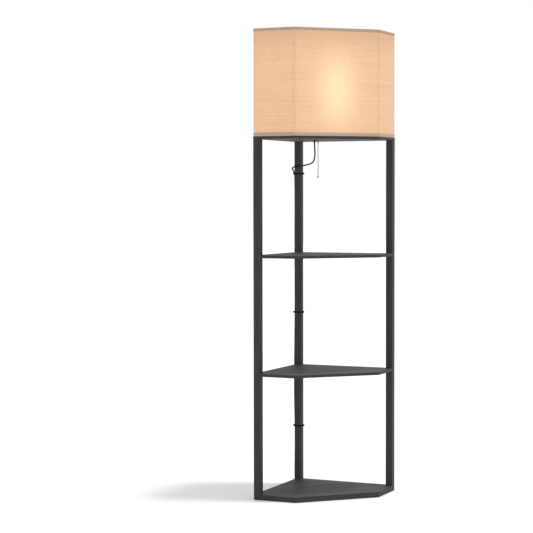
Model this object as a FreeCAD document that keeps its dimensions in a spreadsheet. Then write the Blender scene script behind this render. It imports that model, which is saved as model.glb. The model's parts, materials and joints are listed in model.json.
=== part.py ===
import FreeCAD, Part
import math
import os
import re

import Sketcher
from FreeCAD import Placement, Rotation, Vector

# A shelf floor lamp for the corner of a room: three square posts carry a base board, two shelves
# and a lamp deck, all five-sided (a square whose front corner is cut off), and a five-sided shade
# stands on the deck. The pieces are drawn in wall coordinates: X and Y run along the two walls
# from the room's corner. Each piece is then turned so that the cut-off corner faces -Y.

doc = FreeCAD.newDocument("ShelfFloorLamp")

# ---------------------------------------------------------------- driving dimensions (mm)

SIZES = {
    # plan
    "side_length": 372,
    "front_short": 153,
    "post_width": 24,
    "edge_round": 0.8,
    # heights, from the floor up
    "glide_thick": 1.5,
    "glide_radius": 9,
    "glide_setback": 22,
    "base_thick": 18,
    "lower_bay": 403,
    "shelf_thick": 10,
    "middle_bay": 392.5,
    "upper_bay": 393,
    "deck_thick": 9,
    "shade_height": 363,
    # wood screws and dowels
    "screw_radius": 2,
    "screw_head_radius": 4,
    "screw_head_depth": 2.6,
    "screw_bite": 21,
    "deck_screw_bite": 30,
    "key_radius": 1.6,
    "key_depth": 1.8,
    "hole_slack": 0.05,
    "dowel_radius": 2.5,
    "dowel_in_post": 8,
    "dowel_in_board": 14,
    # shade
    "trim_thick": 0.6,
    "trim_height": 12,
    "fabric_thick": 1.2,
    "wire_radius": 1.75,
    "strut_radius": 1.5,
    "weld_radius": 3,
    "weld_reach": 4,
    "weld_lip": 0.4,
    "wire_setback": 2,
    "arm_radius": 1.6,
    "frame_slack": 0.1,
    "fitter_thick": 1.5,
    "fitter_reach": 6,
    "ring_nut_height": 7,
    "ring_nut_reach": 5,
    # lamp holder
    "holder_spot": 117,
    "foot_radius": 24,
    "foot_plate": 6,
    "foot_height": 12,
    "foot_neck_radius": 9,
    "stem_radius": 5,
    "stem_bore": 3.6,
    "stem_show": 34,
    "cap_radius": 21,
    "cap_height": 24,
    "cap_floor": 2,
    "cap_neck_radius": 8,
    "cap_neck": 4,
    "collar_height": 16,
    "neck_height": 22,
    "neck_radius": 19.6,
    "holder_bore": 18.4,
    "holder_slack": 0.3,
    "switch_height": 27,
    "contact_radius": 4,
    "contact_thick": 1,
    "sleeve_wall": 0.9,
    "screw_shell_wall": 0.5,
    "inner_wire_radius": 1.2,
    "inner_wire_offset": 1.6,
    # clamp plate and cord grommet under the deck
    "plate_length": 23,
    "plate_width": 11,
    "plate_thick": 1.6,
    "plate_screw_offset": 7.75,
    "plate_screw_radius": 2,
    "plate_screw_head": 3.4,
    "plate_screw_head_height": 2.4,
    "grommet_radius": 4.6,
    "grommet_nose": 8,
    "grommet_nose_radius": 3.2,
    "grommet_tip_radius": 2.8,
    "grommet_rise": 6,
    # bulb
    "bulb_cap_radius": 13,
    "bulb_cap_height": 24,
    "bulb_contact_radius": 4.5,
    "bulb_contact_height": 3,
    "housing_foot_radius": 14,
    "housing_radius": 24,
    "housing_height": 24,
    "globe_radius": 30,
    "globe_wall": 1.2,
    "board_thick": 1.5,
    # pull chain
    "chain_reach": 33.5,
    "guide_height": 11,
    "guide_radius": 3,
    "mouth_radius": 4.2,
    "mouth_bore": 2.3,
    "mouth_height": 14,
    "mouth_top": 0.8,
    "eyelet_radius": 3.8,
    "eyelet_flange": 6,
    "eyelet_flange_thick": 1,
    "eyelet_bore": 2.4,
    "ball_radius": 1.6,
    "ball_pitch": 4.3,
    "link_radius": 0.6,
    "joint_gap": 0.3,
    "connector_drop": 3.5,
    "connector_length": 9,
    "connector_radius": 2,
    "bell_drop": 129.5,
    "bell_radius": 2.75,
    "bell_neck": 1.2,
    "bell_neck_height": 1.8,
    # cord and what is on it
    "cord_radius": 2.5,
    "tie_gap": 0.4,
    "tie_thick": 1.5,
    "tie_height": 5,
    "tie_pocket": 8.8,
    "tie_pocket_near": 5,
    "tie_pocket_far": 14,
    "tie_head": 5,
    "tie_head_reach": 3,
    "tie_head_height": 6.5,
    "tie_head_setback": 2,
    "upper_tie_height": 1115.6,
    "middle_tie_height": 620.5,
    "lower_tie_height": 212.3,
    "hank_start": 45,
    "hank_length": 97,
    "hank_width": 22,
    "hank_height": 45,
    "hank_lift": 1.5,
    "hank_tie_place": 3.5,
    "hank_tie_width": 5,
    "hank_tie_thick": 1.2,
    "plug_place": 17,
    "plug_length": 30,
    "plug_width": 22,
    "plug_thick": 12,
    "plug_round": 3,
    "relief_length": 16,
    "relief_radius": 4.2,
    "relief_tip_radius": 3,
    "blade_length": 17.5,
    "blade_thick": 1.5,
    "blade_height": 6.4,
    "blade_offset": 6.35,
}

sheet = doc.addObject("Spreadsheet::Sheet", "Sizes")
for row, (alias, value) in enumerate(SIZES.items(), start=1):
    sheet.set(f"A{row}", alias.replace("_", " "))
    sheet.set(f"B{row}", str(value))
    sheet.setAlias(f"B{row}", alias)

# ---------------------------------------------------------------- places worked out from them

PLACES = {
    "nothing": "0 * post_width",
    # plan
    "reach_back": "(side_length + front_short) / sqrt(2) / 2",
    "post_mid": "post_width / 2",
    "far_inner": "side_length - post_width",
    "far_mid": "side_length - post_width / 2",
    "glide_front": "side_length - glide_setback",
    "glide_side": "front_short - glide_setback / 2",
    # levels
    "base_mid": "glide_thick + base_thick / 2",
    "base_top": "glide_thick + base_thick",
    "lower_under": "base_top + lower_bay",
    "lower_mid": "lower_under + shelf_thick / 2",
    "lower_top": "lower_under + shelf_thick",
    "upper_under": "lower_top + middle_bay",
    "upper_mid": "upper_under + shelf_thick / 2",
    "upper_top": "upper_under + shelf_thick",
    "deck_under": "upper_top + upper_bay",
    "deck_top": "deck_under + deck_thick",
    "shade_top": "deck_top + shade_height",
    "post_length": "deck_under - glide_thick",
    # shade
    "lower_wire": "deck_top + trim_thick + wire_radius + weld_lip + frame_slack",
    "upper_wire": "shade_top - trim_thick - wire_radius - weld_lip - frame_slack",
    # holder, from the deck up
    "foot_top": "deck_top + foot_height",
    "stem_foot": "deck_top + grommet_rise",
    "cap_under": "foot_top + stem_show",
    "cap_inside": "cap_under + cap_floor",
    "cap_top": "cap_under + cap_height",
    "shoulder": "cap_top + collar_height",
    "shell_top": "shoulder + neck_height",
    "switch_radius": "holder_bore - holder_slack",
    "switch_top": "cap_inside + switch_height",
    "contact_top": "switch_top + contact_thick",
    "screw_shell_bore": "bulb_cap_radius + holder_slack",
    "fitter_bore": "neck_radius + holder_slack",
    "fitter_outer": "neck_radius + fitter_reach",
    "fitter_top": "shoulder + fitter_thick",
    "nut_bore": "neck_radius + frame_slack",
    # bulb
    "bulb_foot": "contact_top + holder_slack",
    "bulb_cap_foot": "bulb_foot + bulb_contact_height",
    "housing_foot": "bulb_cap_foot + bulb_cap_height",
    "housing_top": "housing_foot + housing_height",
    "globe_middle": "housing_top + sqrt(globe_radius ^ 2 - housing_radius ^ 2)",
    # pull chain
    "chain_spot": "holder_spot + chain_reach / sqrt(2)",
    "guide_level": "cap_inside + guide_height",
    "mouth_foot": "guide_level + guide_radius + mouth_top - mouth_height",
    "upper_pivot": "deck_under - connector_drop",
    "lower_pivot": "upper_pivot - connector_length",
    "barrel_foot": "lower_pivot + ball_radius + joint_gap",
    "barrel_length": "connector_length - 2 * ball_radius - 3 * joint_gap",
    "bell_foot": "deck_under - bell_drop",
    # clamp plate
    "plate_screw_spot": "plate_screw_offset / sqrt(2)",
    "plate_under": "deck_under - plate_thick",
    "grommet_foot": "deck_under - grommet_nose",
    # cable ties
    "tie_low": "-tie_gap",
    "tie_high": "post_width + tie_gap",
    "tie_outer_low": "-tie_gap - tie_thick",
    "tie_outer_high": "post_width + tie_gap + tie_thick",
    "tie_pocket_low": "-tie_pocket",
    "tie_outer_pocket": "-tie_pocket - tie_thick",
    "tie_outer_near": "tie_pocket_near - tie_thick / 2",
    "tie_outer_far": "tie_pocket_far + tie_thick / 2",
    # hank and plug, measured from the back post's middle
    "hank_top": "hank_lift + hank_height",
    "hank_bend": "hank_height / 2",
    "plug_front": "hank_start + plug_place",
    "plug_back": "plug_front + plug_length",
    "plug_mid": "hank_top + plug_thick / 2",
}

# How far the pentagons of the shade lie inside the boards' outline.
INSETS = {
    "skin": "trim_thick",
    "lining": "trim_thick + fabric_thick",
    "wire": "trim_thick + fabric_thick + weld_radius + frame_slack",
    "hem": "trim_thick + fabric_thick + 2 * weld_radius + 2 * frame_slack",
    "band": "2 * trim_thick + fabric_thick + 2 * weld_radius + 2 * frame_slack",
}
for name, inset in INSETS.items():
    PLACES[name + "_low"] = inset
    PLACES[name + "_high"] = f"side_length - ({inset})"
    PLACES[name + "_front"] = f"front_short - ({inset}) * (sqrt(2) - 1)"

places = doc.addObject("App::VarSet", "Places")


def formula(text):
    """A formula in plain names, with each name's owner put before it."""

    def owned(match):
        word = match.group()
        if word in SIZES:
            return "Sizes." + word
        return "Places." + word if word in PLACES else word

    return re.sub(r"[a-z_]+", owned, text)


for name, rule in PLACES.items():
    places.addProperty("App::PropertyFloat", name)
    places.setExpression(name, formula(rule))
doc.recompute()


def number(name):
    """The value of a size or a place."""
    return float(sheet.get(name) if name in SIZES else getattr(places, name))


# ---------------------------------------------------------------- building blocks

NODES = []
COUNTS = {}
AXES = {
    "x": Vector(1, 0, 0),
    "y": Vector(0, 1, 0),
    "z": Vector(0, 0, 1),
    "down": Vector(0, 0, -1),
    "front": Vector(1, 1, 0),
    "across": Vector(-1, 1, 0),
}
STRAIGHT = Rotation()


def fresh(kind):
    """A name not used before, for a helper object."""
    COUNTS[kind] = COUNTS.get(kind, 0) + 1
    return f"{kind}{COUNTS[kind]}"


def put(item, spot, turn=STRAIGHT):
    """Places an object at a spot given by three formulas."""
    item.Placement = Placement(Vector(), turn)
    for axis, rule in zip("xyz", spot):
        item.setExpression(f"Placement.Base.{axis}", formula(rule))


def bind(item, **rules):
    for name, rule in rules.items():
        item.setExpression(name, formula(rule))
    return item


def facing(axis):
    return Rotation(AXES["z"], AXES[axis])


def cylinder(spot, radius, height, axis="z"):
    item = doc.addObject("Part::Cylinder", fresh("Cylinder"))
    put(item, spot, facing(axis))
    return bind(item, Radius=radius, Height=height)


def cone(spot, foot, top, height, axis="z"):
    item = doc.addObject("Part::Cone", fresh("Cone"))
    put(item, spot, facing(axis))
    return bind(item, Radius1=foot, Radius2=top, Height=height)


def ball(spot, radius):
    item = doc.addObject("Part::Sphere", fresh("Sphere"))
    put(item, spot)
    return bind(item, Radius=radius)


def block(spot, length, width, height, turn=STRAIGHT):
    item = doc.addObject("Part::Box", fresh("Box"))
    put(item, spot, turn)
    return bind(item, Length=length, Width=width, Height=height)


def six_sided(spot, radius, height, axis="z"):
    item = doc.addObject("Part::Prism", fresh("Prism"))
    item.Polygon = 6
    put(item, spot, facing(axis))
    return bind(item, Circumradius=radius, Height=height)


def fused(*items):
    item = doc.addObject("Part::MultiFuse", fresh("Fusion"))
    item.Shapes = list(items)
    return item


def without(solid, *tools):
    item = doc.addObject("Part::Cut", fresh("Cut"))
    item.Base = solid
    item.Tool = tools[0] if len(tools) == 1 else fused(*tools)
    return item


def drawn(shape):
    """An object whose shape is worked out from the sizes here, for what no primitive makes."""
    item = doc.addObject("Part::Feature", fresh("Drawn"))
    item.Shape = shape
    return item


def stand(item, label):
    """Turns a finished piece from wall coordinates to the lamp's own frame."""
    item.Label = label
    item.Placement = Placement(Vector(), Rotation(AXES["z"], -135))
    item.setExpression("Placement.Base.y", formula("reach_back"))
    NODES.append(item)


def node(label, *items):
    group = doc.addObject("Part::Compound", "Node_" + label)
    group.Links = list(items)
    stand(group, label)


def tube(spot, outer, inner, height):
    return without(cylinder(spot, outer, height), cylinder(spot, inner, height))


# ---------------------------------------------------------------- bodies made from sketches


def new_body(label):
    body = doc.addObject("PartDesign::Body", label)
    stand(body, label)
    return body


def ground(body):
    for item in body.Origin.OriginFeatures:
        if item.Role == "XY_Plane":
            return item


def hold(sketch, line, direction, name):
    """Keeps the start of a line at a named distance from an axis."""
    if name == "nothing":
        axis = -2 if direction == "X" else -1
        sketch.addConstraint(Sketcher.Constraint("PointOnObject", line, 1, axis))
        return
    value = number(name)
    index = sketch.addConstraint(Sketcher.Constraint("Distance" + direction, -1, 1, line, 1, value))
    sketch.setExpression(f"Constraints[{index}]", formula(name))


def outline_sketch(body, level, *outlines):
    """A sketch at a named level with closed outlines, each a list of named corners."""
    sketch = body.newObject("Sketcher::SketchObject", fresh("Sketch"))
    sketch.AttachmentSupport = (ground(body), [""])
    sketch.MapMode = "FlatFace"
    sketch.setExpression("AttachmentOffset.Base.z", formula(level))
    for corners in outlines:
        first = sketch.GeometryCount
        spots = [Vector(number(across), number(along), 0) for across, along in corners]
        for here, there in zip(spots, spots[1:] + spots[:1]):
            sketch.addGeometry(Part.LineSegment(here, there), False)
        for index in range(len(corners)):
            following = first + (index + 1) % len(corners)
            sketch.addConstraint(Sketcher.Constraint("Coincident", first + index, 2, following, 1))
        for index, (across, along) in enumerate(corners):
            hold(sketch, first + index, "X", across)
            hold(sketch, first + index, "Y", along)
    return sketch


def pad(body, sketch, height):
    item = body.newObject("PartDesign::Pad", fresh("Pad"))
    item.Profile = sketch
    return bind(item, Length=height)


def drill(body, spot, radius, depth, axis="z"):
    item = body.newObject("PartDesign::SubtractiveCylinder", fresh("Bore"))
    put(item, spot, facing(axis))
    return bind(item, Radius=radius, Height=depth)


def sink(body, spot, wide, narrow, depth, axis):
    item = body.newObject("PartDesign::SubtractiveCone", fresh("Sink"))
    put(item, spot, facing(axis))
    return bind(item, Radius1=wide, Radius2=narrow, Height=depth)


def pentagon(name):
    """The five corners of the shade's outline at a named inset."""
    low, high, front = name + "_low", name + "_high", name + "_front"
    return [(low, low), (high, low), (high, front), (front, high), (low, high)]


BOARD_OUTLINE = [
    ("nothing", "nothing"),
    ("side_length", "nothing"),
    ("side_length", "front_short"),
    ("front_short", "side_length"),
    ("nothing", "side_length"),
]
NOTCHED_OUTLINE = [
    ("post_width", "nothing"),
    ("far_inner", "nothing"),
    ("far_inner", "post_width"),
    ("side_length", "post_width"),
    ("side_length", "front_short"),
    ("front_short", "side_length"),
    ("post_width", "side_length"),
    ("post_width", "far_inner"),
    ("nothing", "far_inner"),
    ("nothing", "post_width"),
    ("post_width", "post_width"),
]
SCREW_HOLE = "screw_radius + hole_slack"
HEAD_HOLE = "screw_head_radius + hole_slack"
DOWEL_HOLE = "dowel_radius + hole_slack"

# Each post: its near corner, the way its board screws run, the way its dowels run into the boards.
POSTS = {
    "left_post": (("far_inner", "nothing"), "y", "x", -1),
    "back_post": (("nothing", "nothing"), "y", "x", 1),
    "right_post": (("nothing", "far_inner"), "x", "y", -1),
}
BOARD_LEVELS = ["base_mid", "lower_mid", "upper_mid"]


def screw_start(corner, axis, level):
    """Where a board screw enters its post, on the wall side."""
    if axis == "y":
        return (f"{corner[0]} + post_mid", corner[1], level)
    return (corner[0], f"{corner[1]} + post_mid", level)


def dowel_start(corner, axis, way, level, depth):
    """Where a dowel hole starts, a depth inside the post, so that it runs along the plus axis."""
    face = f"post_width - {depth}" if way > 0 else "nothing"
    if axis == "x":
        return (f"{corner[0]} + {face}", f"{corner[1]} + post_mid", level)
    return (f"{corner[0]} + post_mid", f"{corner[1]} + {face}", level)


def dowel_body(corner, axis, way, level):
    """A dowel's start and its whole length, from its end in the post or in the board."""
    if way > 0:
        start = "post_width - dowel_in_post"
    else:
        start = "-dowel_in_board"
    if axis == "x":
        return (f"{corner[0]} + {start}", f"{corner[1]} + post_mid", level)
    return (f"{corner[0]} + post_mid", f"{corner[1]} + {start}", level)


def long_edges(feature):
    """The upright edges of a feature."""
    found = []
    for index, edge in enumerate(feature.Shape.Edges, start=1):
        way = edge.tangentAt(edge.FirstParameter)
        if abs(way.z) > 0.99:
            found.append(f"Edge{index}")
    return found


def front_edges(feature):
    """The edges of a board along its three front faces, upright ones at the posts left out."""
    side, short = number("side_length"), number("front_short")
    found = []
    for index, edge in enumerate(feature.Shape.Edges, start=1):
        middle = edge.CenterOfMass
        upright = abs(edge.tangentAt(edge.FirstParameter).z) > 0.99
        on_front = abs(middle.x + middle.y - side - short) < 0.01
        on_end = abs(middle.x - side) < 0.01 or abs(middle.y - side) < 0.01
        if on_front or (on_end and not upright):
            found.append(f"Edge{index}")
    return found


def rounded(body, feature, edges):
    item = body.newObject("PartDesign::Fillet", fresh("Fillet"))
    item.Base = (feature, edges)
    return bind(item, Radius="edge_round")


def make_post(label, corner, screw_axis, dowel_axis, way):
    body = new_body(label)
    near, far = corner
    ends = {"nothing": "post_width", "far_inner": "side_length"}
    outline = [(near, far), (ends[near], far), (ends[near], ends[far]), (near, ends[far])]
    shaft = pad(body, outline_sketch(body, "glide_thick", outline), "post_length")
    doc.recompute()
    rounded(body, shaft, long_edges(shaft))
    for level in BOARD_LEVELS:
        start = screw_start(corner, screw_axis, level)
        drill(body, start, SCREW_HOLE, "post_width", screw_axis)
        sink(body, start, HEAD_HOLE, SCREW_HOLE, "screw_head_depth", screw_axis)
        depth = dowel_start(corner, dowel_axis, way, level, "dowel_in_post")
        drill(body, depth, DOWEL_HOLE, "dowel_in_post", dowel_axis)
    top = (f"{near} + post_mid", f"{far} + post_mid", "deck_under - deck_screw_bite")
    drill(body, top, SCREW_HOLE, "deck_screw_bite")


def make_board(label, level, under, thickness):
    body = new_body(label)
    slab = pad(body, outline_sketch(body, under, NOTCHED_OUTLINE), thickness)
    doc.recompute()
    rounded(body, slab, front_edges(slab))
    for corner, screw_axis, dowel_axis, way in POSTS.values():
        spot = screw_start(corner, screw_axis, level)
        through = (f"{spot[0]} + post_width", spot[1], level)
        if screw_axis == "y":
            through = (spot[0], f"{spot[1]} + post_width", level)
        drill(body, through, SCREW_HOLE, "screw_bite", screw_axis)
        start = dowel_body(corner, dowel_axis, way, level)
        if way > 0:
            start = dowel_start(corner, dowel_axis, way, level, "0")
        drill(body, start, DOWEL_HOLE, "dowel_in_board", dowel_axis)


# ---------------------------------------------------------------- wooden frame


for post, details in POSTS.items():
    make_post(post, *details)

make_board("base_board", "base_mid", "glide_thick", "base_thick")
make_board("lower_shelf", "lower_mid", "lower_under", "shelf_thick")
make_board("upper_shelf", "upper_mid", "upper_under", "shelf_thick")

POST_MIDDLES = [("far_mid", "post_mid"), ("post_mid", "post_mid"), ("post_mid", "far_mid")]

deck = new_body("lamp_deck")
slab = pad(deck, outline_sketch(deck, "deck_under", BOARD_OUTLINE), "deck_thick")
doc.recompute()
rounded(deck, slab, front_edges(slab))
for across, along in POST_MIDDLES:
    drill(deck, (across, along, "deck_under"), SCREW_HOLE, "deck_thick")
    sink(deck, (across, along, "deck_top"), HEAD_HOLE, SCREW_HOLE, "screw_head_depth", "down")
drill(deck, ("holder_spot", "holder_spot", "deck_under"), "grommet_radius + hole_slack", "deck_thick")
drill(deck, ("chain_spot", "chain_spot", "deck_under"), "eyelet_radius + hole_slack", "deck_thick")
for sign in ("+", "-"):
    other = "-" if sign == "+" else "+"
    spot = (f"holder_spot {sign} plate_screw_spot", f"holder_spot {other} plate_screw_spot", "deck_under")
    drill(deck, spot, "plate_screw_radius + hole_slack", "deck_thick")


def wood_screw(start, axis, length):
    """A countersunk screw with its head flush at the start."""
    shank = cylinder(start, "screw_radius", length, axis)
    head = cone(start, "screw_head_radius", "screw_radius", "screw_head_depth", axis)
    key = six_sided(start, "key_radius", "key_depth", axis)
    return without(fused(shank, head), key)


for board, level in zip(("base", "lower_shelf", "upper_shelf"), BOARD_LEVELS):
    screws = []
    dowels = []
    for corner, screw_axis, dowel_axis, way in POSTS.values():
        start = screw_start(corner, screw_axis, level)
        screws.append(wood_screw(start, screw_axis, "post_width + screw_bite"))
        start = dowel_body(corner, dowel_axis, way, level)
        dowels.append(cylinder(start, "dowel_radius", "dowel_in_post + dowel_in_board", dowel_axis))
    node(board + "_screws", *screws)
    node(board + "_dowels", *dowels)

deck_screws = []
for across, along in POST_MIDDLES:
    deck_screws.append(wood_screw((across, along, "deck_top"), "down", "deck_thick + deck_screw_bite"))
node("deck_screws", *deck_screws)

GLIDE_SPOTS = POST_MIDDLES + [("glide_front", "glide_side"), ("glide_side", "glide_front")]
glides = []
for across, along in GLIDE_SPOTS:
    glides.append(cylinder((across, along, "nothing"), "glide_radius", "glide_thick"))
node("floor_glides", *glides)

# ---------------------------------------------------------------- shade

fabric = new_body("shade_fabric")
fabric_sketch = outline_sketch(fabric, "deck_top + trim_thick", pentagon("skin"), pentagon("lining"))
pad(fabric, fabric_sketch, "shade_height - 2 * trim_thick")

lower_trim = new_body("shade_bottom_trim")
pad(lower_trim, outline_sketch(lower_trim, "deck_top", BOARD_OUTLINE, pentagon("skin")), "trim_height")
pad(lower_trim, outline_sketch(lower_trim, "deck_top", BOARD_OUTLINE, pentagon("hem")), "trim_thick")

upper_trim = new_body("shade_top_trim")
band_foot = "shade_top - trim_height"
pad(upper_trim, outline_sketch(upper_trim, band_foot, BOARD_OUTLINE, pentagon("skin")), "trim_height")
fold = outline_sketch(upper_trim, "shade_top - trim_thick", BOARD_OUTLINE, pentagon("band"))
pad(upper_trim, fold, "trim_thick")
inner_band = outline_sketch(upper_trim, band_foot, pentagon("hem"), pentagon("band"))
pad(upper_trim, inner_band, "trim_height")


def wire_ring(level, weld_foot):
    """A five-sided wire ring: straight rods welded to short stubs at the corners."""
    low, high, front = "wire_low", "wire_high", "wire_front"
    start = f"{low} + wire_setback"
    wall = f"{high} - {low} - 2 * wire_setback"
    short = f"{front} - {low} - 2 * wire_setback"
    slant = f"({high} - {front}) * sqrt(2) - 2 * wire_setback"
    slant_start = (f"{high} - wire_setback / sqrt(2)", f"{front} + wire_setback / sqrt(2)", level)
    rods = [
        cylinder((start, low, level), "wire_radius", wall, "x"),
        cylinder((low, start, level), "wire_radius", wall, "y"),
        cylinder((high, start, level), "wire_radius", short, "y"),
        cylinder((start, high, level), "wire_radius", short, "x"),
        cylinder(slant_start, "wire_radius", slant, "across"),
    ]
    welds = []
    for across, along in pentagon("wire"):
        stub = (across, along, weld_foot)
        welds.append(cylinder(stub, "weld_radius", "weld_lip + wire_radius + weld_reach"))
    return rods + welds


def fitter_arm(across, along):
    """A wire from a corner of the lower ring up to the underside of the fitter ring."""
    radius = number("arm_radius")
    start = Vector(number(across), number(along), number("lower_wire"))
    spot = number("holder_spot")
    middle = Vector(spot, spot, number("shoulder") - radius / 2)
    flat = Vector(start.x - middle.x, start.y - middle.y, 0)
    end = middle + flat.normalize() * (number("fitter_outer") - radius)
    arm = Part.makeCylinder(radius, (end - start).Length, start, end - start)
    return drawn(arm.fuse(Part.makeSphere(radius, end)))




def on_axis(level):
    """A spot on the upright axis of holder and bulb."""
    return ("holder_spot", "holder_spot", level)


fitter_plate = tube(on_axis("shoulder"), "fitter_outer", "fitter_bore", "fitter_thick")
arms = [fitter_arm("wire_low", "wire_low")]
arms.append(fitter_arm("wire_high", "wire_front"))
arms.append(fitter_arm("wire_front", "wire_high"))
lower_ring = wire_ring("lower_wire", "lower_wire - wire_radius - weld_lip")
node("shade_fitter_ring", fused(fitter_plate, *lower_ring, *arms))
node("shade_top_ring", fused(*wire_ring("upper_wire", "upper_wire - weld_reach")))
struts = []
for across, along in pentagon("wire"):
    spot = (across, along, "lower_wire + weld_reach")
    struts.append(cylinder(spot, "strut_radius", "upper_wire - lower_wire - 2 * weld_reach"))
node("shade_struts", *struts)
ring_nut = tube(on_axis("fitter_top"), "nut_bore + ring_nut_reach", "nut_bore", "ring_nut_height")
node("shade_ring_nut", ring_nut)

# ---------------------------------------------------------------- lamp holder


def screw_spots(level):
    """Where the two screws of the clamp plate stand."""
    return [
        ("holder_spot + plate_screw_spot", "holder_spot - plate_screw_spot", level),
        ("holder_spot - plate_screw_spot", "holder_spot + plate_screw_spot", level),
    ]


PLATE_HOLE = "plate_screw_radius + hole_slack"
node("holder_foot", without(
    fused(
        cylinder(on_axis("deck_top"), "foot_radius", "foot_plate"),
        cylinder(on_axis("deck_top"), "foot_neck_radius", "foot_height"),
    ),
    cylinder(on_axis("deck_top"), "grommet_radius + hole_slack", "grommet_rise"),
    cylinder(on_axis("deck_top"), "stem_radius + hole_slack", "foot_height"),
    *[cylinder(spot, PLATE_HOLE, "foot_plate") for spot in screw_spots("deck_top")],
))
node("holder_stem", tube(on_axis("stem_foot"), "stem_radius", "stem_bore", "cap_inside - stem_foot"))
guide_hole = "guide_radius + holder_slack"
guide_bore = cylinder(on_axis("guide_level"), guide_hole, "cap_radius + guide_radius", "front")
node("holder_cap", without(
    fused(
        cylinder(on_axis("cap_under"), "cap_radius", "cap_height"),
        cylinder(on_axis("cap_under - cap_neck"), "cap_neck_radius", "cap_neck"),
    ),
    cylinder(on_axis("cap_inside"), "holder_bore", "cap_height"),
    cylinder(on_axis("cap_under - cap_neck"), "stem_radius + hole_slack", "cap_neck + cap_floor"),
    guide_bore,
))
node("holder_shell", without(
    fused(
        cylinder(on_axis("cap_top"), "cap_radius", "collar_height"),
        cylinder(on_axis("cap_top"), "neck_radius", "collar_height + neck_height"),
    ),
    cylinder(on_axis("cap_top"), "holder_bore", "collar_height + neck_height"),
))
node("pull_switch", cylinder(on_axis("cap_inside"), "switch_radius", "switch_height"))
node("centre_contact", cylinder(on_axis("switch_top"), "contact_radius", "contact_thick"))
node("insulating_sleeve", tube(on_axis("switch_top"), "switch_radius", "switch_radius - sleeve_wall",
                               "shell_top - switch_top"))
node("screw_shell", tube(on_axis("switch_top"), "screw_shell_bore + screw_shell_wall", "screw_shell_bore",
                         "bulb_cap_height + contact_thick"))
wires = []
for sign in ("+", "-"):
    spot = (f"holder_spot {sign} inner_wire_offset", "holder_spot", "stem_foot")
    wires.append(cylinder(spot, "inner_wire_radius", "cap_inside - stem_foot"))
node("inner_wires", *wires)

plate_turn = Rotation(AXES["z"], 135)
plate_corner = (
    "holder_spot + (plate_length + plate_width) / 2 / sqrt(2)",
    "holder_spot - (plate_length - plate_width) / 2 / sqrt(2)",
    "plate_under",
)
node("clamp_plate", without(
    block(plate_corner, "plate_length", "plate_width", "plate_thick", plate_turn),
    cylinder(on_axis("plate_under"), "grommet_nose_radius + hole_slack", "plate_thick"),
    *[cylinder(spot, PLATE_HOLE, "plate_thick") for spot in screw_spots("plate_under")],
))
plate_screws = []
for spot, head_spot in zip(screw_spots("plate_under"), screw_spots("plate_under - plate_screw_head_height")):
    shank = cylinder(spot, "plate_screw_radius", "plate_thick + deck_thick + foot_plate")
    head = cylinder(head_spot, "plate_screw_head", "plate_screw_head_height")
    key = six_sided(head_spot, "key_radius", "key_depth")
    plate_screws.append(without(fused(shank, head), key))
node("holder_screws", *plate_screws)
node("cord_grommet", fused(
    cylinder(on_axis("deck_under"), "grommet_radius", "deck_thick + grommet_rise"),
    cylinder(on_axis("plate_under"), "grommet_nose_radius", "plate_thick"),
    cone(on_axis("grommet_foot"), "grommet_tip_radius", "grommet_nose_radius", "grommet_nose - plate_thick"),
))

# ---------------------------------------------------------------- bulb

node("bulb_contact", cylinder(on_axis("bulb_foot"), "bulb_contact_radius", "bulb_contact_height"))
node("bulb_cap", cylinder(on_axis("bulb_cap_foot"), "bulb_cap_radius", "bulb_cap_height"))
node("bulb_housing", cone(on_axis("housing_foot"), "housing_foot_radius", "housing_radius", "housing_height"))
node("bulb_led_board", cylinder(on_axis("housing_top"), "housing_radius - 2 * globe_wall", "board_thick"))
globe_box = block(
    ("holder_spot - globe_radius", "holder_spot - globe_radius", "housing_top - 2 * globe_radius"),
    "2 * globe_radius", "2 * globe_radius", "2 * globe_radius",
)
node("bulb_globe", without(
    ball(on_axis("globe_middle"), "globe_radius"),
    ball(on_axis("globe_middle"), "globe_radius - globe_wall"),
    globe_box,
))

# ---------------------------------------------------------------- pull chain


def on_chain(level):
    """A spot on the pull chain's upright axis."""
    return ("chain_spot", "chain_spot", level)


guide_start = (
    "holder_spot + (switch_radius + frame_slack) / sqrt(2)",
    "holder_spot + (switch_radius + frame_slack) / sqrt(2)",
    "guide_level",
)
node("chain_guide", without(
    fused(
        cylinder(guide_start, "guide_radius", "chain_reach - switch_radius - frame_slack", "front"),
        cylinder(on_chain("mouth_foot"), "mouth_radius", "mouth_height"),
    ),
    cylinder(on_chain("mouth_foot"), "mouth_bore", "mouth_height - guide_radius / 2 - mouth_top"),
))
node("chain_eyelet", without(
    fused(
        cylinder(on_chain("deck_under"), "eyelet_radius", "deck_thick"),
        cylinder(on_chain("deck_top"), "eyelet_flange", "eyelet_flange_thick"),
    ),
    cylinder(on_chain("deck_under"), "eyelet_bore", "deck_thick + eyelet_flange_thick"),
))


def bead_chain(low, high):
    """Beads on a wire between two levels, the first bead touching the low level."""
    radius = number("ball_radius")
    pitch = number("ball_pitch")
    spot = number("chain_spot")
    count = int((high - low - 2 * radius) / pitch) + 1
    link = Part.makeCylinder(number("link_radius"), high - low - radius, Vector(spot, spot, low + radius))
    beads = []
    for index in range(count):
        beads.append(Part.makeSphere(radius, Vector(spot, spot, low + radius + index * pitch)))
    return drawn(link.fuse(beads))


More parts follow.
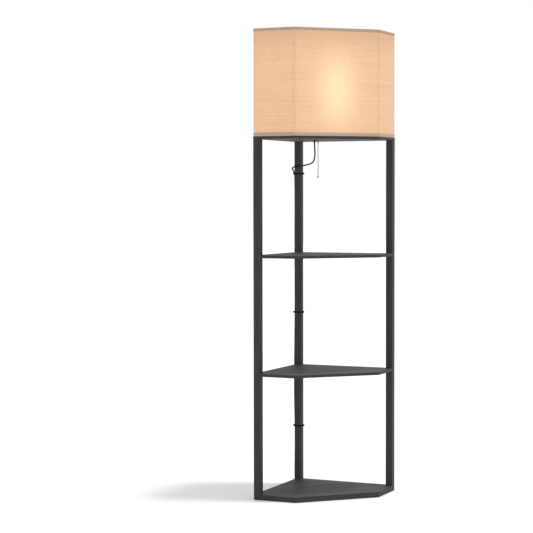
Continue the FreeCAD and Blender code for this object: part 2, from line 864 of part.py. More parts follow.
# The chain turns on two beads: the connector's own upper bead and the lower chain's first one.
upper_foot = number("upper_pivot") + number("ball_radius") + number("joint_gap")
bell_top = number("bell_foot") + 2 * number("bell_radius") + number("bell_neck_height")
lower_head = number("lower_pivot") + number("ball_radius")
node("chain_upper", bead_chain(upper_foot, number("guide_level")))
node("chain_connector", fused(
    ball(on_chain("upper_pivot"), "ball_radius"),
    cylinder(on_chain("barrel_foot"), "link_radius", "upper_pivot - barrel_foot"),
    cylinder(on_chain("barrel_foot"), "connector_radius", "barrel_length"),
    cone(on_chain("barrel_foot + barrel_length"), "connector_radius", "link_radius", "joint_gap"),
))
lower_chain = bead_chain(bell_top, lower_head)
mirrored = Vector(0, 2 * number("chain_spot"), bell_top + lower_head)
lower_chain.Placement = Placement(mirrored, Rotation(AXES["x"], 180))
node("chain_lower", lower_chain)
node("chain_bell", fused(
    ball(on_chain("bell_foot + bell_radius"), "bell_radius"),
    cylinder(on_chain("bell_foot + bell_radius"), "bell_neck", "bell_radius + bell_neck_height"),
))

# ---------------------------------------------------------------- cord

# The cord's way in wall coordinates: down out of the grommet, back to the back post, round that
# post's edge, down its wall side and, at the floor, back into the hank.
CORD_ROUTE = [
    (117, 117, 1219.7),
    (117, 118, 1203),
    (117.5, 119.5, 1184),
    (113.5, 116, 1164),
    (99, 102, 1151),
    (73, 76, 1146.5),
    (50, 49, 1143.5),
    (36, 24, 1142),
    (33.6, 10.5, 1141),
    (30, -2.5, 1138.5),
    (22, -9.6, 1133),
    (12.8, -6.8, 1123.5),
    (10.2, -4.6, 1111),
    (9.5, -4, 1092),
    (9.3, -3.5, 1058),
    (9.2, -3.4, 1004),
    (9.3, -3.6, 948),
    (9.6, -3.8, 887),
    (10.2, -3.6, 822),
    (9.9, -3.4, 752),
    (9.5, -3.5, 684),
    (9.6, -3.6, 618),
    (10.6, -3.9, 550),
    (12.0, -4.2, 482),
    (13.6, -4.3, 415),
    (14.4, -4.2, 346),
    (12.9, -3.9, 279),
    (10.2, -3.6, 213),
    (9.2, -3.7, 150),
    (9.3, -4.2, 96),
    (9.3, -4.8, 54),
    (4, -7.2, 25),
    (-9, -10, 8),
    (-26.3, -13.4, 4.5),
    (-38.2, -18, 4.1),
]
# The cord's last stretch, from the hank's top to the plug, measured from the back post's middle.
TAIL_ROUTE = [(131, 2, 41.5), (123, 1.5, 48.8), (115.5, 0.7, 52), (108.4, 0, 52.5)]
# Straight away from the viewer's side, behind the back post.
HANK_TURN = 203.54
ARC_SHARE = 0.45

hank_place = Placement(Vector(number("post_mid"), number("post_mid"), 0), Rotation(AXES["z"], HANK_TURN))


def cord_tube(route, name):
    """A round tube along straight runs joined by tangent arcs."""
    points = [Vector(*point) for point in route]
    edges = []
    start = points[0]
    length = 0
    for before, corner, after in zip(points, points[1:], points[2:]):
        into = (corner - before).normalize()
        out = (after - corner).normalize()
        turn = into.getAngle(out)
        shorter = min((corner - before).Length, (after - corner).Length)
        setback = ARC_SHARE * shorter
        radius = setback / math.tan(turn / 2)
        first = corner - into * setback
        last = corner + out * setback
        inward = (out - into).normalize()
        middle = corner + inward * (radius / math.cos(turn / 2) - radius)
        edges.append(Part.LineSegment(start, first).toShape())
        edges.append(Part.Arc(first, middle, last).toShape())
        length += (first - start).Length + radius * turn
        start = last
        print(name, "bend radius", round(radius, 1))
    edges.append(Part.LineSegment(start, points[-1]).toShape())
    length += (points[-1] - start).Length
    path = Part.Wire(edges)
    radius = number("cord_radius")
    circle = Part.Wire(Part.Circle(points[0], points[1] - points[0], radius).toShape())
    solid = path.makePipeShell([circle], True, False)
    expected = math.pi * radius**2 * length
    print(name, "length", round(length, 1), "volume over expected", round(solid.Volume / expected, 4))
    return drawn(solid)


node("power_cord", cord_tube(CORD_ROUTE, "cord"))


def laid(item):
    """Turns a piece that lies behind the post into wall coordinates."""
    item.Placement = hank_place * item.Placement
    return item


def behind(item):
    """The same for a piece whose own place is bound to the sizes: it is grouped first."""
    group = doc.addObject("Part::Compound", fresh("Behind"))
    group.Links = [item]
    group.Placement = hank_place
    return group


bend_far = ("hank_start + hank_length - hank_bend", "-hank_width / 2", "hank_lift + hank_bend")
bend_near = ("hank_start + hank_bend", "-hank_width / 2", "hank_lift + hank_bend")
hank = fused(
    block(("hank_start + hank_bend", "-hank_width / 2", "hank_lift"), "hank_length - hank_height",
          "hank_width", "hank_height"),
    cylinder(bend_far, "hank_bend", "hank_width", "y"),
    cylinder(bend_near, "hank_bend", "hank_width", "y"),
)
node("cord_hank", behind(hank))
node("cord_tail", laid(cord_tube(TAIL_ROUTE, "tail")))

tie_start = "hank_start + hank_length - hank_bend - hank_tie_place - hank_tie_width"
node("hank_tie", behind(without(
    block((tie_start, "-hank_width / 2 - hank_tie_thick", "hank_lift - hank_tie_thick"),
          "hank_tie_width", "hank_width + 2 * hank_tie_thick", "hank_height + 2 * hank_tie_thick"),
    block((tie_start, "-hank_width / 2", "hank_lift"), "hank_tie_width", "hank_width", "hank_height"),
)))

plug_block = block(("plug_front", "-plug_width / 2", "hank_top"), "plug_length", "plug_width", "plug_thick")
doc.recompute()
rounded_plug = doc.addObject("Part::Fillet", "PlugRounding")
rounded_plug.Base = plug_block
PLUG_EDGES = [index for index, edge in enumerate(plug_block.Shape.Edges, start=1)
              if abs(edge.tangentAt(0).x) > 0.99 or abs(edge.tangentAt(0).z) > 0.99]
rounded_plug.Edges = [(index, number("plug_round"), number("plug_round")) for index in PLUG_EDGES]
relief_foot = ("plug_back", "nothing", "plug_mid")
relief = cone(relief_foot, "relief_radius", "relief_tip_radius", "relief_length", "x")
node("plug_body", behind(fused(rounded_plug, relief)))
blades = []
for sign in ("", "-"):
    side = f"{sign}blade_offset - blade_thick / 2"
    corner = ("plug_front - blade_length", side, "plug_mid - blade_height / 2")
    blades.append(behind(block(corner, "blade_length", "blade_thick", "blade_height")))
node("plug_blades", *blades)

TIE_INSIDE = [
    ("tie_low", "tie_low"),
    ("tie_pocket_near", "tie_pocket_low"),
    ("tie_pocket_far", "tie_pocket_low"),
    ("tie_high", "tie_low"),
    ("tie_high", "tie_high"),
    ("tie_low", "tie_high"),
]
TIE_OUTSIDE = [
    ("tie_outer_low", "tie_outer_low"),
    ("tie_outer_near", "tie_outer_pocket"),
    ("tie_outer_far", "tie_outer_pocket"),
    ("tie_outer_high", "tie_outer_low"),
    ("tie_outer_high", "tie_outer_high"),
    ("tie_outer_low", "tie_outer_high"),
]
for label in ("upper", "middle", "lower"):
    tie = new_body(label + "_cable_tie")
    level = f"{label}_tie_height"
    pad(tie, outline_sketch(tie, f"{level} - tie_height / 2", TIE_OUTSIDE, TIE_INSIDE), "tie_height")
    head = tie.newObject("PartDesign::AdditiveBox", fresh("Head"))
    put(head, ("tie_head_setback", "tie_outer_high - tie_thick / 2", f"{level} - tie_head_height / 2"))
    bind(head, Length="tie_head", Width="tie_head_reach + tie_thick / 2", Height="tie_head_height")

# ---------------------------------------------------------------- checks and files

doc.recompute()
for item in doc.Objects:
    if "Invalid" in item.State or "Error" in item.State:
        raise RuntimeError(f"{item.Name} ({item.Label}) failed: {item.State}")
for item in NODES:
    if item.Shape.isNull() or not item.Shape.isValid() or not item.Shape.Solids:
        raise RuntimeError(f"{item.Label} has no valid shape")

os.makedirs("parts", exist_ok=True)
for item in NODES:
    item.Shape.exportStep(f"parts/{item.Label}.step")
    print(item.Label, len(item.Shape.Solids), "solids", round(item.Shape.Volume), "mm3")
print(len(NODES), "nodes")
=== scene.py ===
import json
import math
from itertools import accumulate

import bmesh
import bpy
from mathutils import Matrix, Vector, noise


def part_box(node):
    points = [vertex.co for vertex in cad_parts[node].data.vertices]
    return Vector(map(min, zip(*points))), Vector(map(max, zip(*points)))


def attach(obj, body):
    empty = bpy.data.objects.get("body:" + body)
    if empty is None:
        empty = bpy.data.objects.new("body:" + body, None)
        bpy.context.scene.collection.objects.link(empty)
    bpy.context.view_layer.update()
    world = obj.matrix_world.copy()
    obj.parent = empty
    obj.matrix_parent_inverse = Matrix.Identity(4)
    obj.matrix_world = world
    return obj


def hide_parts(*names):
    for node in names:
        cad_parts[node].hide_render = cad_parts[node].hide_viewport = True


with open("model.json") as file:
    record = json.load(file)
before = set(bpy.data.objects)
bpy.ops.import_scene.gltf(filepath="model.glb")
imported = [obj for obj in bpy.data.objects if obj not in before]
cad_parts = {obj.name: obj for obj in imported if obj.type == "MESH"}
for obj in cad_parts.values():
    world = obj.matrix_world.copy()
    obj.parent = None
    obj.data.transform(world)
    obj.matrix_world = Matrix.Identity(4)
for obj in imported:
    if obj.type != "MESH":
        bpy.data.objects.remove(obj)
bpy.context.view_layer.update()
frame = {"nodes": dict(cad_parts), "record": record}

# The looks of a shelf floor lamp. Pieces are placed in wall coordinates, as in the CAD source:
# u and v run along the two walls from the room's corner, and the lamp stands turned by 45 degrees.

MM = 0.001
ROOT_2 = math.sqrt(2)
DECK_LOW, DECK_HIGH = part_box("lamp_deck")
ROOM_CORNER = DECK_HIGH.y
SIDE = DECK_HIGH.x * ROOT_2
SHORT = (DECK_HIGH.y - DECK_LOW.y) * ROOT_2 - SIDE
SHADE_FOOT = DECK_HIGH.z
SHADE_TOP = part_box("shade_top_trim")[1].z
POST_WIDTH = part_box("back_post")[1].x * ROOT_2
BULB_LOW, BULB_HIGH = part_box("bulb_globe")
# The middle of the light, below the top of the bulb.
LIGHT_DEPTH = 22 * MM
LIGHT_CENTRE = Vector((0, (BULB_LOW.y + BULB_HIGH.y) / 2, BULB_HIGH.z - LIGHT_DEPTH))


def from_walls(u, v, z):
    """A point in wall coordinates, in the lamp's own frame."""
    return Vector(((v - u) / ROOT_2, ROOM_CORNER - (u + v) / ROOT_2, z))


def pentagon(inset):
    """The shade's five corners at an inset from the boards' outline, in wall coordinates."""
    low, high, front = inset, SIDE - inset, SHORT - inset * (ROOT_2 - 1)
    corners = ((low, low), (high, low), (high, front), (front, high), (low, high))
    return [Vector(corner) for corner in corners]


# ---------------------------------------------------------------- camera

# Fitted to the photograph's corners: metres, angles, and millimetres of lens on a 36 mm sensor.
CAMERA_SPOT = Vector((-2.2151, -5.4568, 1.035))
CAMERA_YAW = math.radians(20.3926)
CAMERA_PITCH = math.radians(-2.3824)
CAMERA_ROLL = math.radians(-0.0997)
CAMERA_LENS = 114.13
FARTHEST_SEEN = 100


def make_camera():
    """A camera without shift, at the photograph's distance and angle."""
    data = bpy.data.cameras.new("camera")
    data.lens = CAMERA_LENS
    data.clip_end = FARTHEST_SEEN
    camera = bpy.data.objects.new("camera", data)
    bpy.context.scene.collection.objects.link(camera)
    upright = Matrix.Rotation(math.radians(90) + CAMERA_PITCH, 4, "X")
    turned = Matrix.Rotation(-CAMERA_YAW, 4, "Z") @ upright @ Matrix.Rotation(CAMERA_ROLL, 4, "Z")
    camera.matrix_world = Matrix.Translation(CAMERA_SPOT) @ turned
    bpy.context.scene.camera = camera


make_camera()

# ---------------------------------------------------------------- materials

# The Mix node's colour sockets, which bear the same names as those for numbers and vectors.
MIX_FIRST = 6
MIX_SECOND = 7
MIX_RESULT = 2
# Nearly all values of a noise lie between these two.
NOISE_LOW = 0.3
NOISE_HIGH = 0.7


class Finish:
    """A material whose nodes are made in short calls."""

    def __init__(self, name, **constants):
        self.material = bpy.data.materials.new(name)
        self.material.use_nodes = True
        self.tree = self.material.node_tree
        self.surface = self.tree.nodes["Principled BSDF"]
        for socket, value in constants.items():
            self.feed(self.surface, socket.replace("_", " "), value)

    def feed(self, node, socket, value):
        """Links a socket to another node's, or sets it to a plain value."""
        if isinstance(value, bpy.types.NodeSocket):
            self.tree.links.new(value, node.inputs[socket])
        else:
            node.inputs[socket].default_value = value

    def node(self, kind, inputs=(), **settings):
        made = self.tree.nodes.new("ShaderNode" + kind)
        for name, value in settings.items():
            setattr(made, name, value)
        for socket, value in dict(inputs).items():
            self.feed(made, socket, value)
        return made

    def math(self, operation, first, second=0.0, third=0.0):
        inputs = {0: first, 1: second, 2: third}
        return self.node("Math", inputs, operation=operation).outputs[0]

    def vector(self, operation, first, second):
        made = self.node("VectorMath", {0: first, 1: second}, operation=operation)
        return made.outputs["Value" if operation in ("DOT_PRODUCT", "DISTANCE") else "Vector"]

    def scaled(self, value, factor):
        return self.node("VectorMath", {0: value, "Scale": factor}, operation="SCALE").outputs["Vector"]

    def spread(self, value, low, high, to_low, to_high):
        """Takes a value's range to another range, smoothly at both ends."""
        inputs = {"Value": value, "From Min": low, "From Max": high, "To Min": to_low, "To Max": to_high}
        return self.node("MapRange", inputs, interpolation_type="SMOOTHSTEP").outputs["Result"]

    def spread_noise(self, value, to_low=0.0, to_high=1.0, low=NOISE_LOW, high=NOISE_HIGH):
        """Takes the usual range of a noise to another range."""
        return self.spread(value, low, high, to_low, to_high)

    def grain(self, scale, detail=3.0, source="Object", roughness=0.55):
        """Noise with its own scale along each axis of the piece, per metre."""
        spot = self.node("TexCoord").outputs[source]
        stretched = self.node("Mapping", {"Vector": spot, "Scale": scale}).outputs["Vector"]
        inputs = {"Vector": stretched, "Scale": 1.0, "Detail": detail, "Roughness": roughness}
        return self.node("TexNoise", inputs).outputs["Fac"]

    def mix(self, share, first, second):
        """A colour between two colours."""
        mixer = self.node("Mix", {"Factor": share}, data_type="RGBA")
        self.feed(mixer, MIX_FIRST, first)
        self.feed(mixer, MIX_SECOND, second)
        return mixer.outputs[MIX_RESULT]

    def colour(self, value):
        self.feed(self.surface, "Base Color", value)

    def rough(self, value):
        self.feed(self.surface, "Roughness", value)

    def glow(self, colour, strength=1.0):
        self.feed(self.surface, "Emission Color", colour)
        self.feed(self.surface, "Emission Strength", strength)

    def bump(self, height, depth, strength=1.0):
        inputs = {"Height": height, "Distance": depth, "Strength": strength}
        normal = self.node("Bump", inputs).outputs["Normal"]
        self.feed(self.surface, "Normal", normal)


def grey(level):
    return (level, level, level, 1.0)


def every_way(scale):
    """One noise scale for all three axes."""
    return (scale, scale, scale)


def lengthwise(axis, along, across):
    """Noise scales for streaks that run along one axis."""
    return [along if name == axis else across for name in "xyz"]


# Paint: its levels of grey, and its noise scales along the wood's grain and across it.
PAINT_DARK = 0.042
PAINT_LIGHT = 0.07
PAINT_WORN_AND_HIGHLIT = 0.094
PAINT_SMOOTHEST = 0.52
PAINT_ROUGHEST = 0.64
STREAK_SCALES = (9.0, 420.0)
BAND_SCALES = (2.2, 70.0)
MOTTLE_SIZE = 0.45
STREAK_SHARE = 0.55
BAND_SHARE = 0.45
STREAK_DEPTH = 0.1 * MM
# Lighter edges, partly rubbed paint and partly a painted highlight: how far round an edge they reach,
# how far the face has to turn there for the first and the full lightening, the most of it, and the
# least of it where the mottle is low.
WEAR_AND_HIGHLIGHT_REACH = 0.9 * MM
WEAR_AND_HIGHLIGHT_STARTS = 0.04
WEAR_AND_HIGHLIGHT_FULL = 0.25
WEAR_AND_HIGHLIGHT_MOST = 0.6
WEAR_AND_HIGHLIGHT_LEAST = 0.25


def painted_wood(name, axis):
    """Black satin paint showing fine wood grain along one axis; edges rubbed and given a painted
    highlight.
    """
    finish = Finish(name, Specular_IOR_Level=0.1)
    streak_scale = lengthwise(axis, *STREAK_SCALES)
    streaks = finish.grain(streak_scale, detail=4.0)
    bands = finish.grain(lengthwise(axis, *BAND_SCALES), detail=2.0)
    mottle = finish.grain([scale * MOTTLE_SIZE for scale in streak_scale], detail=4.0)
    shade = finish.math("MULTIPLY_ADD", streaks, STREAK_SHARE, finish.math("MULTIPLY", bands, BAND_SHARE))
    paint = finish.mix(finish.spread_noise(shade), grey(PAINT_DARK), grey(PAINT_LIGHT))
    # Lighter edges where the face turns: partly rubbed paint, partly a painted highlight.
    rounded = finish.node("Bevel", {"Radius": WEAR_AND_HIGHLIGHT_REACH}, samples=4).outputs["Normal"]
    flat = finish.node("NewGeometry").outputs["Normal"]
    turned = finish.math("SUBTRACT", 1.0, finish.vector("DOT_PRODUCT", rounded, flat))
    edge = finish.spread(turned, WEAR_AND_HIGHLIGHT_STARTS, WEAR_AND_HIGHLIGHT_FULL, 0.0, WEAR_AND_HIGHLIGHT_MOST)
    worn_and_highlit = finish.math("MULTIPLY", edge, finish.spread_noise(mottle, WEAR_AND_HIGHLIGHT_LEAST, 1.0, low=0.35, high=0.6))
    finish.colour(finish.mix(worn_and_highlit, paint, grey(PAINT_WORN_AND_HIGHLIT)))
    finish.rough(finish.spread_noise(mottle, PAINT_SMOOTHEST, PAINT_ROUGHEST))
    finish.bump(streaks, STREAK_DEPTH, strength=0.6)
    return finish.material


def raw_wood(name, dark, light):
    """Bare wood whose grain runs up the piece."""
    finish = Finish(name, Roughness=0.7)
    streaks = finish.grain(lengthwise("z", along=40.0, across=900.0))
    finish.colour(finish.mix(streaks, dark, light))
    finish.bump(streaks, 0.1 * MM)
    return finish.material


BRUSHING_SCALE = 300.0
STAIN_SCALE = 60.0


def metal(name, dark, light, smoothest, roughest):
    """Plated or drawn metal with fine brushing and slight stains."""
    finish = Finish(name, Metallic=1.0)
    brushing = finish.grain(every_way(BRUSHING_SCALE))
    stains = finish.grain(every_way(STAIN_SCALE), detail=4.0)
    finish.colour(finish.mix(finish.spread_noise(stains, low=0.35), dark, light))
    finish.rough(finish.spread_noise(brushing, smoothest, roughest))
    finish.bump(brushing, 0.02 * MM, strength=0.5)
    return finish.material


MARK_SCALE = 45.0


def moulded(name, dark, light, smoothest, roughest, skin_scale=900.0, depth=0.03 * MM, **constants):
    """Moulded plastic, rubber or powder coat: a fine grain and slight handling marks."""
    finish = Finish(name, **constants)
    skin = finish.grain(every_way(skin_scale), detail=2.0)
    marks = finish.grain(every_way(MARK_SCALE), detail=5.0)
    finish.colour(finish.mix(finish.spread_noise(marks), dark, light))
    finish.rough(finish.spread_noise(marks, smoothest, roughest))
    finish.bump(skin, depth, strength=0.7)
    return finish.material


FIBRE_SCALE = 1800.0


def felt(name, dark, light):
    finish = Finish(name, Roughness=0.97, Sheen_Weight=0.4, Sheen_Roughness=0.5)
    fibres = finish.grain(every_way(FIBRE_SCALE), detail=4.0, roughness=0.7)
    finish.colour(finish.mix(fibres, dark, light))
    finish.bump(fibres, 0.3 * MM)
    return finish.material


BULB_GLOW = (1.0, 0.86, 0.62, 1)
BULB_STRENGTH = 3.0
# The bulb is dimmer up to this height above its cover's foot.
BULB_FOOT = 20 * MM
BULB_FOOT_SHADE = 0.45
BULB_CLOUD_SCALE = 120.0
BULB_CLOUD_SHADE = 0.95


def opal(name):
    """The bulb's glowing opal cover, a little dimmer towards its foot."""
    finish = Finish(name, Roughness=0.35, Base_Color=(0.93, 0.91, 0.86, 1))
    spot = finish.node("NewGeometry").outputs["Position"]
    height = finish.node("SeparateXYZ", {"Vector": spot}).outputs["Z"]
    lit = finish.spread(height, BULB_LOW.z, BULB_LOW.z + BULB_FOOT, BULB_FOOT_SHADE, 1.0)
    cloud = finish.spread_noise(finish.grain(every_way(BULB_CLOUD_SCALE), detail=2.0), BULB_CLOUD_SHADE)
    level = finish.math("MULTIPLY", lit, cloud)
    finish.glow(finish.mix(level, grey(0.0), BULB_GLOW), BULB_STRENGTH)
    finish.bump(cloud, 0.05 * MM)
    return finish.material


# Cloth: its own colours, and those of the painted glow that stands for the bulb's light through it, evenly
# and beside the bulb.
CLOTH_COLOUR = Vector((0.22, 0.155, 0.105))
CLOTH_PAINTED_LIGHT = Vector((0.71, 0.438, 0.262))
TAPE_COLOUR = Vector((0.36, 0.27, 0.215))
TAPE_PAINTED_LIGHT = Vector((0.22, 0.14, 0.1))
PAINTED_SPOT_LIGHT = Vector((0.26, 0.26, 0.155))
TAPE_PAINTED_SPOT_SHARE = 0.4
# The weave: the pitch of its yarns, how far they waver, and the height of warp against weft.
YARN_PITCH = 0.85 * MM
YARN_WAVER = 0.9 * MM
WAVER_SCALE = 260.0
WARP_HEIGHT = 0.8
YARN_DEPTH = 0.09 * MM
# Slubs, the thick places in the yarns: noise scales round the shade and up it, and their shares.
WEFT_SLUBS = (55.0, 750.0, 1.0)
WARP_SLUBS = (750.0, 18.0, 1.0)
WEFT_BANDS = (3.0, 380.0, 1.0)
WEFT_SHARE = 0.42
WARP_SHARE = 0.32
BAND_OF_WEFT_SHARE = 0.36
SLUB_LOW = 0.4
SLUB_HEIGHT = 1.2
SLUB_CONTRAST = 0.22
# The lap where the cloth's end lies over its start, with painted shade where the cloth lies double. Its
# step is counted in depths of a yarn.
LAP_WIDTH = 12 * MM
LAP_EDGE = 0.3 * MM
LAP_SHADE = 0.86
LAP_STEP = 6.0
# Multiplied by this, a vector keeps only its level part.
LEVEL = (1, 1, 0)
# The painted light from inside: the painted spot's size for the light's distance to the front panel,
# and where the spot fades on panels that are farther away.
FRONT_REACH = LIGHT_CENTRE.y - DECK_LOW.y
SPOT_WIDTH = 0.34 * FRONT_REACH
SPOT_HEIGHT = 0.56 * FRONT_REACH
SPOT_STARTS_TO_FADE = FRONT_REACH + 5 * MM
SPOT_GONE = FRONT_REACH + 50 * MM
# The even part is dimmer on those panels, and high up, which is painted shade. The fade goes by the
# square of the height above or below the light, in square metres.
FAR_SHADE = 0.955
FADE_STARTS = 0.008
FADE_STOPS = 0.042
FADE_SHADE = 0.8
# Painted shadow of each corner strut: the even part and the spot are dimmer this near to a corner strut.
STRUT_INSET = 3 * MM
STRUT_SHADE = 0.93
STRUT_DARK = 3 * MM
STRUT_CLEAR = 9 * MM
CORNER_DARK = 8 * MM
CORNER_CLEAR = 25 * MM


def yarns(finish):
    """The height of a plain weave and the lightness of its slubs, from the cloth's own metres."""
    spot = finish.node("TexCoord").outputs["UV"]
    waver = finish.node("TexNoise", {"Vector": spot, "Scale": WAVER_SCALE, "Detail": 2.0}).outputs["Color"]
    pushed = finish.vector("SUBTRACT", waver, (0.5, 0.5, 0.5))
    place = finish.vector("ADD", spot, finish.scaled(pushed, YARN_WAVER))
    parts = finish.node("SeparateXYZ", {"Vector": place})
    waves = []
    for axis in ("X", "Y"):
        turns = finish.math("MULTIPLY", parts.outputs[axis], math.tau / YARN_PITCH)
        waves.append(finish.math("SINE", turns))
    weave = finish.math("MAXIMUM", finish.math("MULTIPLY", waves[0], WARP_HEIGHT), waves[1])
    weft = finish.grain(WEFT_SLUBS, detail=3.0, source="UV")
    warp = finish.grain(WARP_SLUBS, detail=2.0, source="UV")
    band = finish.grain(WEFT_BANDS, detail=2.0, source="UV")
    slubs = finish.math("MULTIPLY_ADD", weft, WEFT_SHARE, finish.math("MULTIPLY", warp, WARP_SHARE))
    slubs = finish.math("MULTIPLY_ADD", band, BAND_OF_WEFT_SHARE, slubs)
    return weave, finish.spread_noise(slubs, low=SLUB_LOW)


def nearest_strut(finish, plan):
    """The distance to the nearest corner strut of the wire frame behind the cloth."""
    nearest = 1.0
    for corner in pentagon(STRUT_INSET):
        spot = from_walls(corner.x, corner.y, 0)
        gap = finish.vector("DISTANCE", plan, spot)
        nearest = finish.math("MINIMUM", gap, nearest)
    return nearest


def painted_light_through(finish):
    """How strongly the bulb's painted light shows through: an even part, dimmer high up, and a tall soft
    spot.
    """
    shape = finish.node("NewGeometry")
    away = finish.vector("SUBTRACT", shape.outputs["Position"], LIGHT_CENTRE)
    facing = finish.vector("MULTIPLY", shape.outputs["Normal"], LEVEL)
    reach = finish.math("ABSOLUTE", finish.vector("DOT_PRODUCT", away, facing))
    plan = finish.vector("MULTIPLY", away, LEVEL)
    rise = finish.node("SeparateXYZ", {"Vector": away}).outputs["Z"]
    rise_2 = finish.math("MULTIPLY", rise, rise)
    reach_2 = finish.math("MULTIPLY", reach, reach)
    across_2 = finish.math("SUBTRACT", finish.vector("DOT_PRODUCT", plan, plan), reach_2)
    wide = finish.math("DIVIDE", across_2, SPOT_WIDTH**2)
    tall = finish.math("DIVIDE", rise_2, SPOT_HEIGHT**2)
    # A painted pool of light beside the bulb, tall and soft.
    spot = finish.math("EXPONENT", finish.math("MULTIPLY", finish.math("ADD", wide, tall), -1.0))
    near = finish.spread(reach, SPOT_STARTS_TO_FADE, SPOT_GONE, 1.0, 0.0)
    # Painted shade: the even part is dimmer high up and on the farther panels.
    even = finish.spread(rise_2, FADE_STARTS, FADE_STOPS, 1.0, FADE_SHADE)
    even = finish.math("MULTIPLY", even, finish.math("MULTIPLY_ADD", near, 1 - FAR_SHADE, FAR_SHADE))
    # Painted shadow of each corner strut on the cloth's light.
    strut_gap = nearest_strut(finish, finish.vector("MULTIPLY", shape.outputs["Position"], LEVEL))
    painted_strut_shadow = finish.spread(strut_gap, STRUT_DARK, STRUT_CLEAR, STRUT_SHADE, 1.0)
    spot_clear_of_strut_shadow = finish.spread(strut_gap, CORNER_DARK, CORNER_CLEAR, 0.0, 1.0)
    spot = finish.math("MULTIPLY", spot, finish.math("MULTIPLY", near, spot_clear_of_strut_shadow))
    return finish.math("MULTIPLY", even, painted_strut_shadow), spot


def single_layer(finish):
    """One away from the lap at the room's corner, where the cloth's end lies over its start."""
    along = finish.node("SeparateXYZ", {"Vector": finish.node("TexCoord").outputs["UV"]}).outputs["X"]
    return finish.spread(along, LAP_WIDTH - LAP_EDGE, LAP_WIDTH + LAP_EDGE, 0.0, 1.0)


def slubbed(finish, slubs, colour):
    """A yarn colour that is a little darker between its slubs and lighter on them."""
    darker = (*(colour * (1 - SLUB_CONTRAST / 2)), 1)
    lighter = (*(colour * (1 + SLUB_CONTRAST / 2)), 1)
    return finish.mix(slubs, darker, lighter)


def cloth(name, colour, glow, painted_spot_light):
    """Slub linen on a translucent liner; the light from inside is painted on as a glow."""
    finish = Finish(name, Roughness=0.85, Sheen_Weight=0.06, Sheen_Roughness=0.4, Specular_IOR_Level=0.2)
    weave, slubs = yarns(finish)
    finish.colour(slubbed(finish, slubs, colour))
    single = single_layer(finish)
    even, spot = painted_light_through(finish)
    # Painted shade where the cloth lies double at the lap.
    even = finish.math("MULTIPLY", even, finish.math("MULTIPLY_ADD", single, 1 - LAP_SHADE, LAP_SHADE))
    # The bulb's light through the cloth is painted on as a glow: an even part and a spot.
    body = slubbed(finish, slubs, glow)
    finish.glow(finish.vector("ADD", finish.scaled(body, even), finish.scaled(painted_spot_light, spot)))
    height = finish.math("MULTIPLY_ADD", slubs, SLUB_HEIGHT, weave)
    finish.bump(finish.math("MULTIPLY_ADD", single, -LAP_STEP, height), YARN_DEPTH, strength=0.55)
    return finish.material


LINER_DARK = (0.78, 0.72, 0.62, 1)
LINER_LIGHT = (0.86, 0.81, 0.72, 1)
LINER_PAINTED_LIGHT = (0.2, 0.15, 0.09)
LINER_CLOUD_SCALE = 30.0


def liner(name):
    """The smooth pale inside of the shade, with the bulb's light on it painted as a glow."""
    finish = Finish(name, Roughness=0.5)
    cloud = finish.grain(every_way(LINER_CLOUD_SCALE), source="UV")
    finish.colour(finish.mix(cloud, LINER_DARK, LINER_LIGHT))
    even = painted_light_through(finish)[0]
    # The bulb's light on the inside is painted on as a glow.
    finish.glow(finish.scaled(LINER_PAINTED_LIGHT, even))
    finish.bump(cloud, 0.1 * MM, strength=0.3)
    return finish.material


BOARD_PAINT = painted_wood("board_paint", "x")
POST_PAINT = painted_wood("post_paint", "z")
CLOTH = cloth("shade_cloth", CLOTH_COLOUR, CLOTH_PAINTED_LIGHT, PAINTED_SPOT_LIGHT)
TAPE = cloth("edge_tape", TAPE_COLOUR, TAPE_PAINTED_LIGHT, PAINTED_SPOT_LIGHT * TAPE_PAINTED_SPOT_SHARE)
LINER = liner("shade_liner")
# Each call gives a darkest and a lightest colour. Metal and moulded ones add the smoothest and the
# roughest that the surface gets.
CORD_SKIN = moulded("cord_skin", grey(0.004), grey(0.008), 0.55, 0.65, Specular_IOR_Level=0.1)
SLOT_FINISHES = {
    "black_wood": BOARD_PAINT,
    "dowel_wood": raw_wood("beech", (0.52, 0.36, 0.2, 1), (0.68, 0.52, 0.34, 1)),
    "steel": metal("zinc_plate", grey(0.42), grey(0.58), 0.28, 0.42),
    "felt": felt("felt", grey(0.012), grey(0.06)),
    "shade_fabric": CLOTH,
    "trim_fabric": TAPE,
    "painted_wire": moulded("powder_coat", grey(0.03), grey(0.05), 0.4, 0.55, skin_scale=1400.0,
                            depth=0.05 * MM),
    "black_plastic": moulded("phenolic", grey(0.014), grey(0.024), 0.25, 0.38),
    "brass": metal("brass", (0.62, 0.42, 0.16, 1), (0.82, 0.6, 0.27, 1), 0.22, 0.38),
    "card": moulded("card", (0.62, 0.55, 0.43, 1), (0.74, 0.67, 0.55, 1), 0.8, 0.9),
    "nickel": metal("nickel", grey(0.08), grey(0.15), 0.2, 0.32),
    "cord_rubber": CORD_SKIN,
    "tie_nylon": moulded("nylon", grey(0.003), grey(0.006), 0.5, 0.6, Specular_IOR_Level=0.08),
    "white_plastic": moulded("white_plastic", (0.78, 0.78, 0.75, 1), (0.86, 0.86, 0.84, 1), 0.25, 0.35),
    "opal_plastic": opal("opal"),
    "aluminium": metal("aluminium", grey(0.6), grey(0.75), 0.3, 0.45),
}


def dress_nodes():
    """Gives every CAD node the finish of its material slot, with the grain upright on the posts."""
    for subpart in frame["record"]["subparts"]:
        name = subpart["node"]
        finish = SLOT_FINISHES[subpart["material_slot"]]
        if name.endswith("_post"):
            finish = POST_PAINT
        for slot in frame["nodes"][name].material_slots:
            slot.material = finish


dress_nodes()

# ---------------------------------------------------------------- cord

CORD_DIAMETER = 5 * MM
